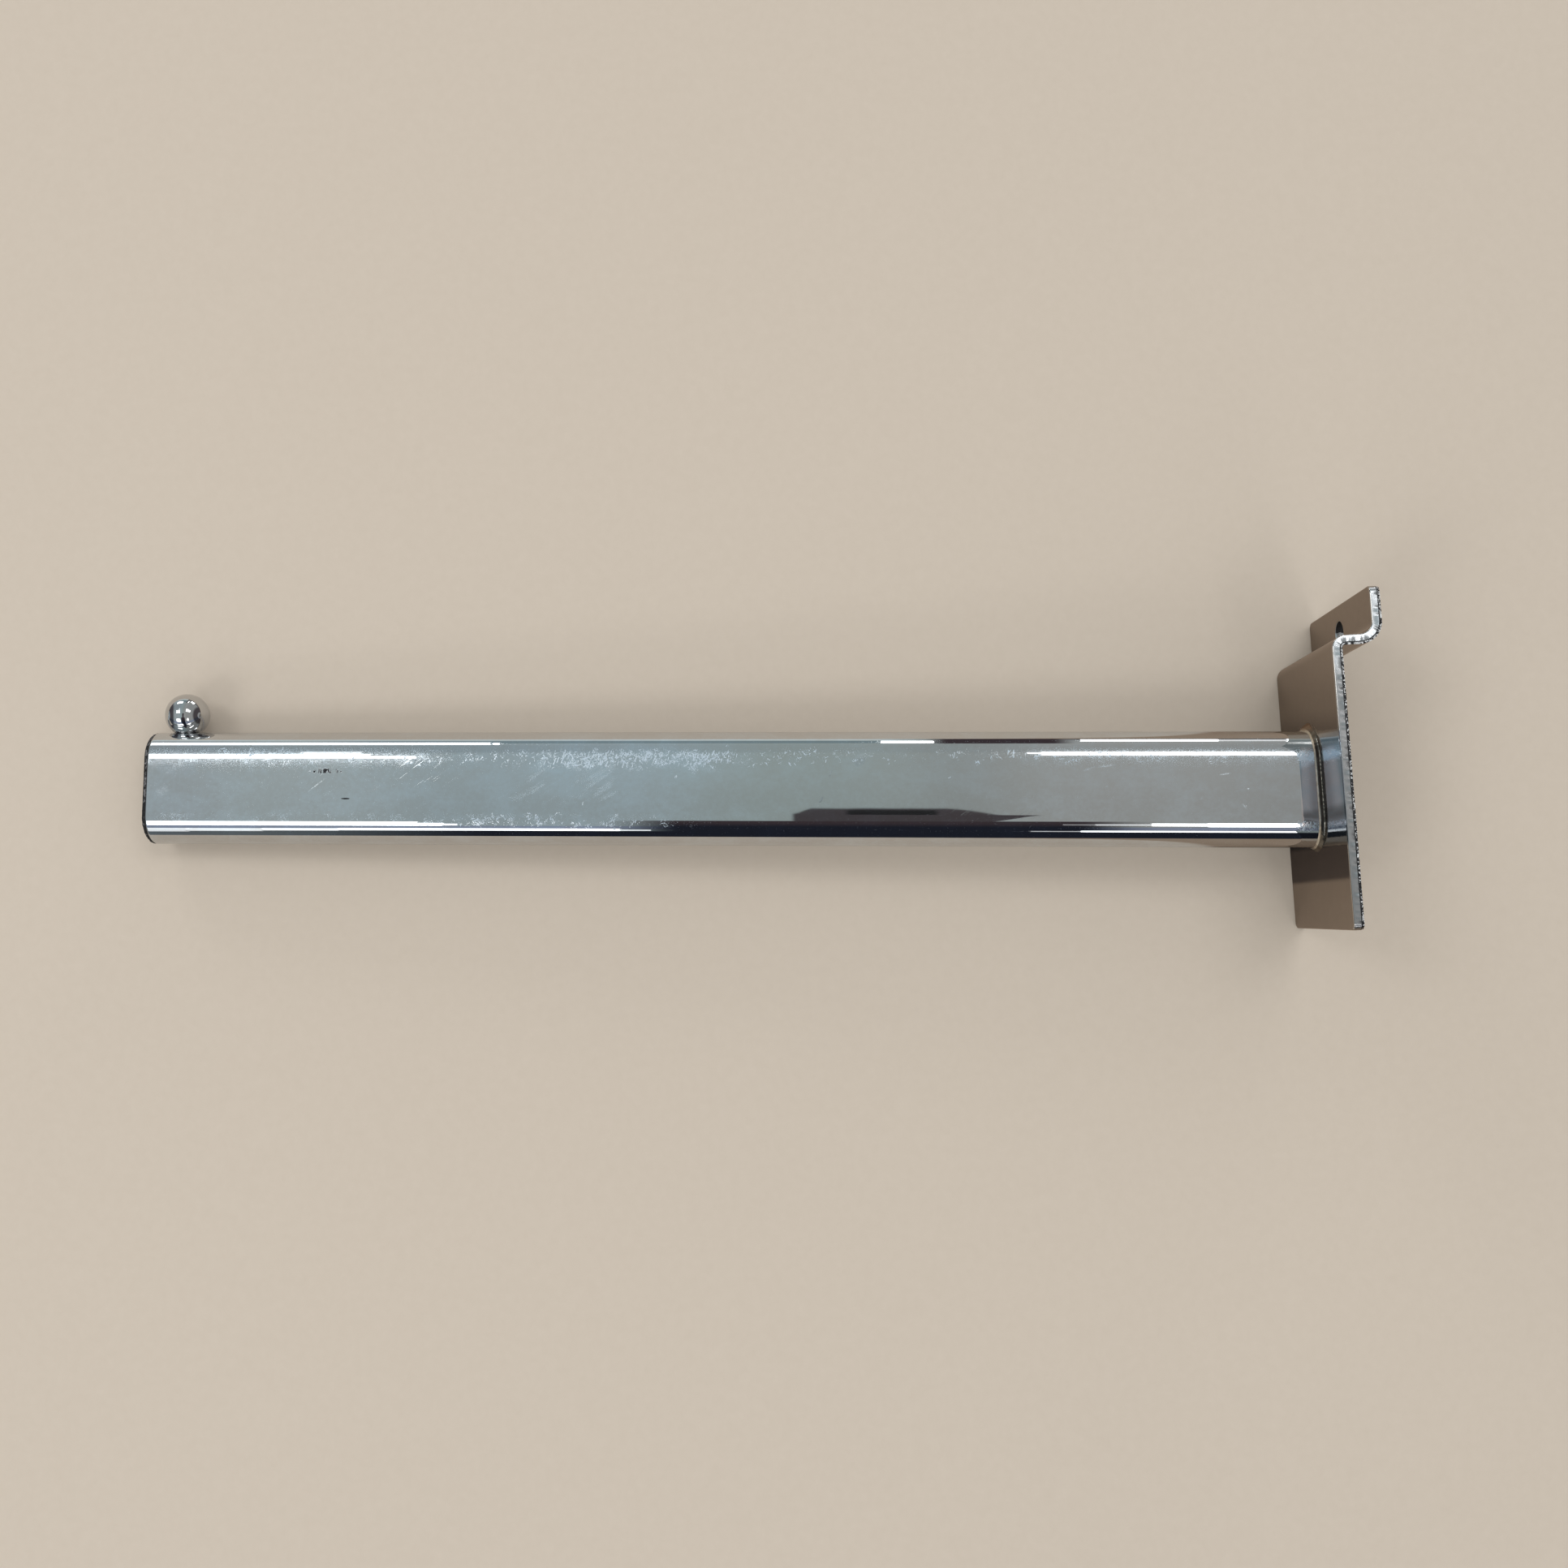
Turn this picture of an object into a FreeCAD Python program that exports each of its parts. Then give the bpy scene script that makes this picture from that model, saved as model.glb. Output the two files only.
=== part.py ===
# Straight faceout arm for a slotted wall panel, in millimetres.
# +X points into the wall, +Z is up, and the arm runs towards -X.
# The origin is on the plate's back face, where the arm's axis meets it.

import FreeCAD, Part
import math
import os

Vector = FreeCAD.Vector

# Wall plate, one bent sheet
sheet_thickness = 2.5
plate_width = 50.0
plate_drop = 35.75
web_top_height = 35.75
panel_gap = 7.4
lip_height = 11.8
front_bend_radius = 0.8
rear_bend_radius = 3.0
blank_corner_radius = 1.8
edge_roll = 0.3
lip_hole_diameter = 6.5
lip_hole_below_top = 7.4

# Arm, a flat oval tube that rises a little towards its free end
arm_length = 305.0
arm_rise_deg = 3.0
tube_height = 30.0
tube_thickness = 15.0
tube_wall = 1.2

# Fillet weld round the foot of the tube
weld_leg = 1.6
weld_flat = 0.15

# Ball stop on the tube's top edge
ball_diameter = 11.5
ball_from_end = 7.0
ball_sink = 1.0

# Plastic cap pressed into the free end
cap_flange = 1.0
cap_edge_bevel = 0.5
cap_inset = 0.1
plug_length = 12.0
plug_wall = 1.2
plug_clearance = 0.6
rib_count = 3
rib_width = 0.8
rib_pitch = 3.2
rib_first = 2.4
rib_clearance = 0.05

# Places that follow from the sizes above
plate_front = -sheet_thickness
lip_front = panel_gap
lip_back = lip_front + sheet_thickness
lip_top_height = web_top_height + lip_height
arm_foot = sheet_thickness / math.cos(math.radians(arm_rise_deg))
arm_end = -(arm_foot + arm_length)


def oval_wire(height, thickness, x):
    """Flat oval with round ends, standing in the plane at x along the arm's axis."""
    radius = thickness / 2
    straight = height / 2 - radius
    top = Vector(x, 0, height / 2)
    bottom = Vector(x, 0, -height / 2)
    near_top = Vector(x, -radius, straight)
    far_top = Vector(x, radius, straight)
    near_bottom = Vector(x, -radius, -straight)
    far_bottom = Vector(x, radius, -straight)
    edges = [
        Part.Arc(near_top, top, far_top).toShape(),
        Part.makeLine(far_top, far_bottom),
        Part.Arc(far_bottom, bottom, near_bottom).toShape(),
        Part.makeLine(near_bottom, near_top),
    ]
    return Part.Wire(edges)


def oval_bar(height, thickness, x_start, x_end):
    """Solid bar of flat oval section between two places along the arm's axis."""
    face = Part.Face(oval_wire(height, thickness, x_start))
    return face.extrude(Vector(x_end - x_start, 0, 0))


def raise_to_slope(shape):
    """Turns a shape made along the X axis to the arm's slope."""
    raised = shape.copy()
    raised.rotate(Vector(0, 0, 0), Vector(0, 1, 0), arm_rise_deg)
    return raised


def in_front_of_plate(shape):
    """Cuts off whatever reaches behind the plate's front face."""
    reach = 2 * (tube_height + plate_width)
    behind = Part.makeBox(reach, reach, reach, Vector(plate_front, -reach / 2, -reach / 2))
    return shape.cut(behind)


def bend_point(centre_x, centre_z, radius, angle_deg):
    """Point on a bend's arc, seen from the side."""
    angle = math.radians(angle_deg)
    return Vector(centre_x + radius * math.cos(angle), 0, centre_z + radius * math.sin(angle))


def front_line():
    """Edges of the sheet's front skin, from the plate's foot to the lip's top."""
    outer = front_bend_radius + sheet_thickness
    first_x = plate_front + outer
    first_z = web_top_height - outer
    second_x = lip_front - rear_bend_radius
    second_z = web_top_height + rear_bend_radius
    foot = Vector(plate_front, 0, -plate_drop)
    top = Vector(lip_front, 0, lip_top_height)
    bend_in = bend_point(first_x, first_z, outer, 180)
    bend_mid = bend_point(first_x, first_z, outer, 135)
    bend_out = bend_point(first_x, first_z, outer, 90)
    rise_in = bend_point(second_x, second_z, rear_bend_radius, 270)
    rise_mid = bend_point(second_x, second_z, rear_bend_radius, 315)
    rise_out = bend_point(second_x, second_z, rear_bend_radius, 0)
    return [
        Part.makeLine(foot, bend_in),
        Part.Arc(bend_in, bend_mid, bend_out).toShape(),
        Part.makeLine(bend_out, rise_in),
        Part.Arc(rise_in, rise_mid, rise_out).toShape(),
        Part.makeLine(rise_out, top),
    ]


def back_line():
    """Edges of the sheet's back skin, from the lip's top to the plate's foot."""
    outer = rear_bend_radius + sheet_thickness
    second_x = lip_front - rear_bend_radius
    second_z = web_top_height + rear_bend_radius
    first_x = front_bend_radius
    first_z = web_top_height - sheet_thickness - front_bend_radius
    foot = Vector(0, 0, -plate_drop)
    top = Vector(lip_back, 0, lip_top_height)
    rise_in = bend_point(second_x, second_z, outer, 0)
    rise_mid = bend_point(second_x, second_z, outer, 315)
    rise_out = bend_point(second_x, second_z, outer, 270)
    bend_in = bend_point(first_x, first_z, front_bend_radius, 90)
    bend_mid = bend_point(first_x, first_z, front_bend_radius, 135)
    bend_out = bend_point(first_x, first_z, front_bend_radius, 180)
    return [
        Part.makeLine(top, rise_in),
        Part.Arc(rise_in, rise_mid, rise_out).toShape(),
        Part.makeLine(rise_out, bend_in),
        Part.Arc(bend_in, bend_mid, bend_out).toShape(),
        Part.makeLine(bend_out, foot),
    ]


def blank_outline():
    """The blank's rounded outline, run through the sheet from front to back."""
    height = plate_drop + lip_top_height
    corner = Vector(plate_front, -plate_width / 2, -plate_drop)
    block = Part.makeBox(lip_back - plate_front, plate_width, height, corner)
    along_x = [e for e in block.Edges if abs(e.tangentAt(e.FirstParameter).x) > 0.9]
    return block.makeFillet(blank_corner_radius, along_x)


def front_rim(solid, skin):
    """Edges round the sheet's front skin, apart from the hole's and the bend lines."""
    rim = []
    for edge in solid.Edges:
        middle = edge.valueAt((edge.FirstParameter + edge.LastParameter) / 2)
        on_skin = skin.distToShape(Part.Vertex(middle))[0] < 1e-4
        bend_line = abs(middle.y) < 1e-4 and abs(edge.tangentAt(edge.FirstParameter).y) > 0.9
        top_or_foot = min(abs(middle.z + plate_drop), abs(middle.z - lip_top_height)) < 1e-4
        if on_skin and (top_or_foot or not bend_line):
            rim.append(edge)
    return rim


def make_wall_plate():
    """Plate, web and lip, folded from one sheet, with the lip's hole."""
    lower_end = Part.makeLine(Vector(0, 0, -plate_drop), Vector(plate_front, 0, -plate_drop))
    upper_end = Part.makeLine(Vector(lip_front, 0, lip_top_height), Vector(lip_back, 0, lip_top_height))
    front = front_line()
    section = Part.Wire(front + [upper_end] + back_line() + [lower_end])
    across = Vector(0, plate_width, 0)
    to_side = Vector(0, -plate_width / 2, 0)
    sheet = Part.Face(section).extrude(across)
    sheet.translate(to_side)
    sheet = sheet.common(blank_outline())
    skin = Part.Wire(front).extrude(across)
    skin.translate(to_side)
    sheet = sheet.makeFillet(edge_roll, front_rim(sheet, skin))
    hole_start = Vector(lip_front - panel_gap / 2, 0, lip_top_height - lip_hole_below_top)
    hole_reach = panel_gap + sheet_thickness
    hole = Part.makeCylinder(lip_hole_diameter / 2, hole_reach, hole_start, Vector(1, 0, 0))
    return sheet.cut(hole)


def make_arm_tube():
    """Flat oval tube, square at its free end and cut to the plate at its foot."""
    outside = oval_bar(tube_height, tube_thickness, arm_end, tube_height)
    inside = oval_bar(
        tube_height - 2 * tube_wall, tube_thickness - 2 * tube_wall, arm_end, tube_height)
    return in_front_of_plate(raise_to_slope(outside.cut(inside)))


def make_weld_bead():
    """Rounded fillet weld that runs all the way round the tube at the plate."""
    toe = -(arm_foot + weld_leg)
    ring = oval_bar(tube_height + 2 * weld_leg, tube_thickness + 2 * weld_leg, toe, tube_height)
    crown = [e for e in ring.Edges if abs(e.CenterOfMass.x - toe) < 1e-4]
    ring = ring.makeFillet(weld_leg - weld_flat, crown)
    core = oval_bar(tube_height, tube_thickness, 2 * toe, 2 * tube_height)
    return in_front_of_plate(raise_to_slope(ring.cut(core)))


def make_ball_stop():
    """Steel ball, seated a little way into the tube's top edge."""
    centre_height = tube_height / 2 + ball_diameter / 2 - ball_sink
    centre = Vector(arm_end + ball_from_end, 0, centre_height)
    ball = Part.makeSphere(ball_diameter / 2, centre)
    seat = oval_bar(tube_height, tube_thickness, arm_end - ball_diameter, 0)
    return raise_to_slope(ball.cut(seat))


def make_end_cap():
    """Cap with a flat oval flange and a hollow plug with gripping ribs."""
    flange_end = arm_end - cap_flange
    flange = oval_bar(
        tube_height - 2 * cap_inset, tube_thickness - 2 * cap_inset, flange_end, arm_end)
    rim = [e for e in flange.Edges if abs(e.CenterOfMass.x - flange_end) < 1e-4]
    cap = flange.makeChamfer(cap_edge_bevel, rim)
    inner_height = tube_height - 2 * tube_wall
    inner_thickness = tube_thickness - 2 * tube_wall
    plug_height = inner_height - 2 * plug_clearance
    plug_thickness = inner_thickness - 2 * plug_clearance
    cap = cap.fuse(oval_bar(plug_height, plug_thickness, arm_end, arm_end + plug_length))
    for index in range(rib_count):
        start = arm_end + rib_first + index * rib_pitch
        rib = oval_bar(
            inner_height - 2 * rib_clearance, inner_thickness - 2 * rib_clearance,
            start, start + rib_width)
        cap = cap.fuse(rib)
    hollow = oval_bar(
        plug_height - 2 * plug_wall, plug_thickness - 2 * plug_wall,
        arm_end, arm_end + 2 * plug_length)
    return raise_to_slope(cap.cut(hollow).removeSplitter())


def main():
    pieces = {
        "wall_plate": make_wall_plate(),
        "arm_tube": make_arm_tube(),
        "weld_bead": make_weld_bead(),
        "ball_stop": make_ball_stop(),
        "end_cap": make_end_cap(),
    }
    os.makedirs("parts", exist_ok=True)
    for name, shape in pieces.items():
        box = shape.BoundBox
        print(name, "solids", len(shape.Solids), "valid", shape.isValid(), "volume", round(shape.Volume, 1),
              "box", round(box.XMin, 2), round(box.XMax, 2), round(box.YMin, 2), round(box.YMax, 2),
              round(box.ZMin, 2), round(box.ZMax, 2))
        shape.exportStep(os.path.join("parts", name + ".step"))


main()
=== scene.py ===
import math

import bpy
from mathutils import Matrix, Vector, noise
from mathutils.geometry import delaunay_2d_cdt


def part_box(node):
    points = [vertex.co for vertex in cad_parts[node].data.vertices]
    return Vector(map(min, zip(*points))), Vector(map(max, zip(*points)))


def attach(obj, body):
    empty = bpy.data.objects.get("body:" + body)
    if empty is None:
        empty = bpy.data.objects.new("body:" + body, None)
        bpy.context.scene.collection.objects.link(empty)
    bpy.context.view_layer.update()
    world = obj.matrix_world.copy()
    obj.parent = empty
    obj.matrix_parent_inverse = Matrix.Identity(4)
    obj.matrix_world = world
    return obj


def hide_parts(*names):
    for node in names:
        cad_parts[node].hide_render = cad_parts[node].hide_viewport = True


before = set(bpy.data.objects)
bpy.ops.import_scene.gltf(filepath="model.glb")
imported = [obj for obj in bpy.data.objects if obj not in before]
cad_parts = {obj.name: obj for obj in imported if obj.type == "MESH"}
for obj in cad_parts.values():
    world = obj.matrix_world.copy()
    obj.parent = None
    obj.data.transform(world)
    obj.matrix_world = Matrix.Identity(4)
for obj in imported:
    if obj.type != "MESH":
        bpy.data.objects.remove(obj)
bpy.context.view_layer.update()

MM = 0.001
PI = math.pi

# Sizes in millimetres: the frame gives most, and the rest are the model's own
plate_low, plate_high = [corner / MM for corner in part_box("wall_plate")]
tube_low, tube_high = [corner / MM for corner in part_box("arm_tube")]
sheet = -plate_low.x
plate_width = plate_high.y - plate_low.y
plate_foot = plate_low.z
lip_top = plate_high.z
panel_gap = plate_high.x - sheet
tube_thickness = tube_high.y - tube_low.y
tube_height = 30.0
tube_wall = 1.2
arm_length = 305.0
arm_rise = math.radians(3.0)
web_top = 35.75
front_bend = 0.8
rear_bend = 3.0
blank_corner = 1.8
hole_radius = 3.25
hole_below_top = 7.4
ball_radius = 5.75
ball_from_end = 7.0
ball_sink = 1.0
cap_flange = 1.0
cap_inset = 0.1
plug_length = 12.0
plug_clearance = 0.6
plug_wall = 1.2
rib_count = 3
rib_width = 0.8
rib_pitch = 3.2
rib_first = 2.4
rib_clearance = 0.05
arm_end = -(sheet / math.cos(arm_rise) + arm_length)

# Camera at the photograph's place and angle
camera_place = Vector((-116.83, -390.09, -25.94))
camera_turn_deg = (95.051, 2.65, 3.419)
camera_lens = 34.24
camera_nearest = 0.01


def placed(name, data):
    """A new object in the scene that holds this data."""
    made = bpy.data.objects.new(name, data)
    bpy.context.scene.collection.objects.link(made)
    return made


def make_camera():
    data = bpy.data.cameras.new("photo_camera")
    data.lens = camera_lens
    data.clip_start = camera_nearest
    camera = placed("photo_camera", data)
    camera.location = camera_place * MM
    camera.rotation_euler = [math.radians(angle) for angle in camera_turn_deg]
    bpy.context.scene.camera = camera


# Node trees

class Tree:
    """A material's or the world's node tree, with short calls to add and link nodes."""

    def __init__(self, owner):
        owner.use_nodes = True
        self.inner = owner.node_tree
        self.inner.nodes.clear()

    def feed(self, socket, value):
        if isinstance(value, bpy.types.NodeSocket):
            self.inner.links.new(value, socket)
        else:
            socket.default_value = value

    def node(self, kind, settings=None, **inputs):
        made = self.inner.nodes.new("ShaderNode" + kind)
        for key, value in (settings or {}).items():
            setattr(made, key, value)
        for key, value in inputs.items():
            self.feed(made.inputs[key.replace("_", " ")], value)
        return made

    def math(self, operation, *values):
        made = self.node("Math", {"operation": operation})
        for socket, value in zip(made.inputs, values):
            self.feed(socket, value)
        return made.outputs[0]

    def chain(self, operation, values):
        result = values[0]
        for value in values[1:]:
            result = self.math(operation, result, value)
        return result

    def times(self, *values):
        return self.chain("MULTIPLY", values)

    def plus(self, *values):
        return self.chain("ADD", values)

    def less(self, *values):
        return self.chain("SUBTRACT", values)

    def most(self, *values):
        return self.chain("MAXIMUM", values)

    def vector(self, operation, one, two):
        made = self.node("VectorMath", {"operation": operation})
        self.feed(made.inputs[0], one)
        self.feed(made.inputs[1], two)
        return made

    def scaled(self, place, factors):
        return self.vector("MULTIPLY", place, factors).outputs[0]

    def dot(self, place, direction):
        return self.vector("DOT_PRODUCT", place, direction).outputs["Value"]

    def step(self, value, low, high):
        """A smooth step that is 0 at low and 1 at high, whichever of the two is larger."""
        made = self.node(
            "MapRange", {"interpolation_type": "SMOOTHSTEP"}, Value=value,
            From_Min=min(low, high), From_Max=max(low, high),
            To_Min=float(low >= high), To_Max=float(low < high))
        return made.outputs["Result"]

    def window(self, value, low, high, soft):
        """One between low and high and zero outside, with soft ends."""
        rise = self.step(value, low - soft, low + soft)
        fall = self.step(value, high + soft, high - soft)
        return self.times(rise, fall)

    def patch(self, one, one_span, two, two_span):
        """One where both values are in their spans, each given as low, high and softness."""
        return self.times(self.window(one, *one_span), self.window(two, *two_span))

    def mixed(self, kind, sockets, output, values):
        made = self.node("Mix", {"data_type": kind})
        for socket, value in zip(sockets, values):
            self.feed(made.inputs[socket], value)
        return made.outputs[output]

    def blend(self, factor, one, two):
        """A colour between two."""
        return self.mixed("RGBA", (0, 6, 7), 2, (factor, one, two))

    def level(self, factor, one, two):
        """A number between two."""
        return self.mixed("FLOAT", (0, 2, 3), 0, (factor, one, two))

    def noise(self, place, scale, detail=2.0, roughness=0.5):
        made = self.node("TexNoise", Vector=place, Scale=scale, Detail=detail, Roughness=roughness)
        return made.outputs[0]

    def split(self, place):
        made = self.node("SeparateXYZ", Vector=place)
        return made.outputs[0], made.outputs[1], made.outputs[2]

    def attribute(self, name):
        return self.node("Attribute", {"attribute_name": name}).outputs["Fac"]

    def finish(self, surface, kind="OutputMaterial"):
        made = self.node(kind)
        self.inner.links.new(surface, made.inputs["Surface"])


def colour(red, green, blue):
    return (red, green, blue, 1.0)


def new_material(name, kind=Tree):
    material = bpy.data.materials.new(name)
    return material, kind(material)


def arm_place(tree):
    """Place on the object in millimetres, turned so that X runs along the arm."""
    place = tree.node("TexCoord").outputs["Object"]
    turned = tree.node("Mapping", Vector=place, Rotation=(0, -arm_rise, 0))
    return tree.scaled(turned.outputs[0], (1 / MM, 1 / MM, 1 / MM))


def specks(tree, place, scale, size, share):
    """Small round specks, on a share of the cells."""
    core = size * 0.4
    cells = tree.node("TexVoronoi", Vector=place, Scale=scale)
    dot = tree.step(cells.outputs["Distance"], size, core)
    pick = tree.split(cells.outputs["Color"])[0]
    return tree.times(dot, tree.math("LESS_THAN", pick, share))


def surface(tree, base, roughness, height, bump_mm, metallic=1.0, specular=0.5):
    """A surface with a bump of so many millimetres, metal unless said otherwise."""
    bump = tree.node("Bump", Strength=1.0, Distance=bump_mm * MM, Height=height)
    made = tree.node(
        "BsdfPrincipled", Base_Color=base, Roughness=roughness, Normal=bump.outputs[0],
        Metallic=metallic, Specular_IOR_Level=specular)
    tree.finish(made.outputs[0])


# Tube's chrome: colours
# The lower tint is painted shade: the chrome's lower side is made darker than its upper side
chrome_low_painted_shade_tint = colour(0.535, 0.54, 0.545)
chrome_high_tint = colour(0.58, 0.585, 0.59)
film_tint = colour(0.64, 0.7, 0.755)
# Painted light at the tube's foot: a pale warm painted reflection of the plate, and painted shade by the
# bead and lower down
foot_painted_reflection_tint = colour(0.98, 0.82, 0.8)
foot_painted_shade_tint = colour(0.6, 0.49, 0.48)
wear_tint = colour(0.62, 0.705, 0.785)
dark_rub_tint = colour(0.02, 0.02, 0.022)

# Tube's chrome: roughness and bump
clear_roughness = 0.014
haze_roughness = 0.48
wear_roughness = 0.62
dark_rub_roughness = 0.3
tube_bump = 0.01

# Spans along the arm and up its side: low, high and softness (mm)
worn_along = (-207, -148, 12)
worn_haze_up = (3.6, 9.8, 2)
worn_edge_up = (5, 9.4, 1.2)
worn_film_up = (0.5, 12, 4)
low_haze_up = (-10.6, -7, 0.6)
fan_along = (-212, -170, 9)
fan_up = (-4.5, 9, 2.5)
left_edge_along = (-290, -266, 4)
left_edge_up = (8.2, 9.4, 0.4)
low_edge_along = (-230, -166, 8)
low_edge_up = (-10.4, -8, 0.5)
thin_edge_along = (-300, -12, 6)
thin_edge_up = (6.4, 9.2, 0.8)
by_weld_along = (-8.6, -2, 1)
by_weld_upper = (6.4, 9.2, 0.6)
by_weld_lower = (-11, -8.6, 0.5)
weld_haze_up = (6.4, 9.6, 0.6)
cloud_along = (-201, -189, 7)
cloud_up = (-3, 8, 2.5)
flat_up = (-10, 10, 0.8)

# Marks on the near side: along, above the axis, length, width (mm), turn (degrees), strength
nicks = (
    (-166.4, 2.5, 1, 0.7, 60, 0.7),
    (-190.7, -4.5, 1.3, 0.45, 80, 0.5),
    (-179.8, -0.6, 5, 1.6, 75, 0.1),
    (-198.3, 0.8, 9, 0.4, 30, 0.2),
    (-126.3, 3.4, 2.2, 0.4, 72, 0.4),
    (-128.7, -3.3, 1.8, 0.6, 60, 0.4),
    (-95.8, 2.4, 1, 0.6, 30, 0.7),
    (-60.5, 4.6, 4, 0.6, 22, 0.35),
    (-56.3, 5.3, 5.2, 0.5, 8, 0.4),
    (-26.3, 3.3, 3.4, 0.5, 8, 0.4),
    (-56, 0.1, 1, 0.4, 45, 0.4),
    (-20.6, -0.5, 0.8, 0.5, 20, 0.6),
    (-23, -0.9, 3, 0.3, 15, 0.15),
    (-21.6, -4.9, 2, 0.4, -50, 0.4),
    (-21.2, -5, 1.2, 0.4, 75, 0.4),
    (-32.2, -2.8, 1.2, 0.35, 60, 0.3),
    (-237.4, 6.1, 0.8, 0.6, 0, 0.9),
    (-236.2, 6.1, 0.7, 0.6, 0, 0.9),
    (-234, 5.5, 0.6, 0.5, 0, 0.7),
    (-303, -1.4, 5, 3, 20, 0.09),
    (-300.5, 4.4, 7, 2, 40, 0.04),
    (-261.5, 0.2, 7, 0.32, 38, 0.16),
    (-245.6, -0.6, 4, 2, 30, 0.06),
    (-118.7, 7, 4.5, 3, 60, 0.25),
)
dark_rub = (-258.9, 3.95, 9.8, 1.4, 0)
small_dark_rub = (-253.6, -3.3, 2.6, 0.45, 0)


class TubeTree(Tree):
    """The tube's node tree, with its wear as masks that share their places and noises."""

    def __init__(self, owner):
        super().__init__(owner)
        self.place = arm_place(self)
        self.along, side, self.up = self.split(self.place)
        self.near = self.step(side, -3, -5)
        self.patches = self.step(self.noise(self.place, 0.3, 6, 0.66), 0.44, 0.6)
        wander = self.less(self.noise(self.place, 0.24, 4, 0.6), 0.5)
        self.loose_up = self.plus(self.up, self.times(wander, 7.0))
        self.worn_stretch = self.window(self.along, *worn_along)

    def strokes(self, turn_deg, length, width, detail=2.0):
        """Noise drawn out into strokes on the arm's side, turned up from its axis."""
        cos, sin = math.cos(math.radians(turn_deg)), math.sin(math.radians(turn_deg))
        sideways = 0.7
        made = self.node("CombineXYZ")
        self.feed(made.inputs[0], self.dot(self.place, (cos / length, 0, sin / length)))
        self.feed(made.inputs[1], self.dot(self.place, (-sin / width, 0, cos / width)))
        self.feed(made.inputs[2], self.dot(self.place, (0, sideways / width, 0)))
        return self.noise(made.outputs[0], 1, detail)

    def mark(self, along, up, length, width, turn_deg):
        """A soft oval patch centred so far along the arm and above its axis."""
        cos, sin = math.cos(math.radians(turn_deg)), math.sin(math.radians(turn_deg))
        edge, core = 1.3, 0.2
        moved = self.vector("SUBTRACT", self.place, (along, 0, up)).outputs[0]
        one = self.dot(moved, (2 * cos / length, 0, 2 * sin / length))
        two = self.dot(moved, (-2 * sin / width, 0, 2 * cos / width))
        square = self.plus(self.times(one, one), self.times(two, two))
        return self.step(square, edge, core)

    def haze(self):
        """Haze where hangers have slid, strongest just under the upper corner."""
        along, up, patches = self.along, self.up, self.patches
        at_ends = self.most(self.step(along, -215, -240), self.step(along, -84, -66))
        high = self.times(self.step(up, 2.6, 8), self.step(up, 11, 9.4))
        middle_haze = self.level(patches, 0.04, 0.16)
        end_haze = self.level(patches, 0.23, 0.29)
        upper = self.times(high, self.level(at_ends, middle_haze, end_haze))
        lower = self.times(
            self.window(up, *low_haze_up), self.step(along, -140.0, -190.0), self.level(patches, 0.04, 0.22))
        worn = self.times(
            self.worn_stretch, self.window(self.loose_up, *worn_haze_up), self.level(patches, 0.14, 0.30))
        by_weld = self.times(self.step(along, -8.4, -7), self.window(up, *weld_haze_up), 0.42)
        fan = self.times(
            self.patch(along, fan_along, up, fan_up),
            self.step(self.strokes(32, 14, 1.6, 5), 0.36, 0.66),
            self.step(self.noise(self.place, 0.11, 3.0), 0.34, 0.60))
        long_lines = self.step(self.strokes(0, 40, 0.3, 4), 0.5, 0.8)
        return self.most(
            upper, lower, worn, by_weld, self.times(fan, 0.30), self.times(long_lines, 0.12))

    def flecks(self):
        """Short bright flecks, crowded along stretches of the corners."""
        along, up, loose_up = self.along, self.up, self.loose_up
        left_edge = self.times(self.patch(along, left_edge_along, loose_up, left_edge_up), 0.88)
        worn_edge = self.times(
            self.worn_stretch, self.window(loose_up, *worn_edge_up), self.level(self.patches, 0.66, 0.95))
        low_edge = self.times(
            self.patch(along, low_edge_along, loose_up, low_edge_up),
            self.level(self.patches, 0.20, 0.80))
        thin_edge = self.times(
            self.patch(along, thin_edge_along, loose_up, thin_edge_up),
            self.level(self.patches, 0.05, 0.64))
        weld_corners = self.most(self.window(up, *by_weld_upper), self.window(up, *by_weld_lower))
        by_weld = self.times(self.window(along, *by_weld_along), weld_corners, 0.98)
        crowd = self.most(left_edge, worn_edge, low_edge, thin_edge, by_weld)
        scratch = self.most(
            self.strokes(72, 1.5, 0.38, 4), self.strokes(20, 1.2, 0.34, 4),
            self.strokes(128.0, 1.1, 0.34, 4.0))
        return self.times(
            self.step(self.plus(scratch, self.times(crowd, 0.16)), 0.71, 0.75),
            self.step(crowd, 0.05, 0.25))

    def nicked(self):
        """The small bright marks of the list above, with ragged edges."""
        ragged = self.step(self.noise(self.place, 2.6, 3, 0.6), 0.3, 0.52)
        marks = [self.times(self.mark(*shape), strength) for *shape, strength in nicks]
        return self.times(self.most(*marks), self.near, ragged)

    def hairlines(self):
        return self.times(
            self.step(self.strokes(36, 11, 0.14, 1), 0.66, 0.76),
            self.step(self.noise(self.place, 0.05, 1.0), 0.46, 0.62))

    def dark_rubs(self):
        ticks = self.step(self.strokes(84, 2.4, 0.5), 0.42, 0.54)
        rubs = self.most(self.times(self.mark(*dark_rub), ticks), self.mark(*small_dark_rub))
        return self.step(self.times(rubs, self.near), 0.15, 0.6)

    def film(self):
        """A thin film that lightens the chrome in soft clouds, most of all round the worn stretch."""
        loose_up = self.loose_up
        long_place = self.scaled(self.place, (0.6, 1.0, 1.0))
        clouds = self.step(self.noise(long_place, 0.16, 5, 0.62), 0.4, 0.68)
        mottle = self.less(self.noise(self.place, 0.9, 4, 0.65), 0.44)
        worn = self.times(
            self.worn_stretch, self.window(loose_up, *worn_film_up), self.level(clouds, 0.40, 0.90))
        cloud = self.times(self.patch(self.along, cloud_along, loose_up, cloud_up), 0.5)
        return self.plus(self.most(self.times(clouds, 0.34), worn, cloud), self.times(mottle, 0.7))


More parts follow.
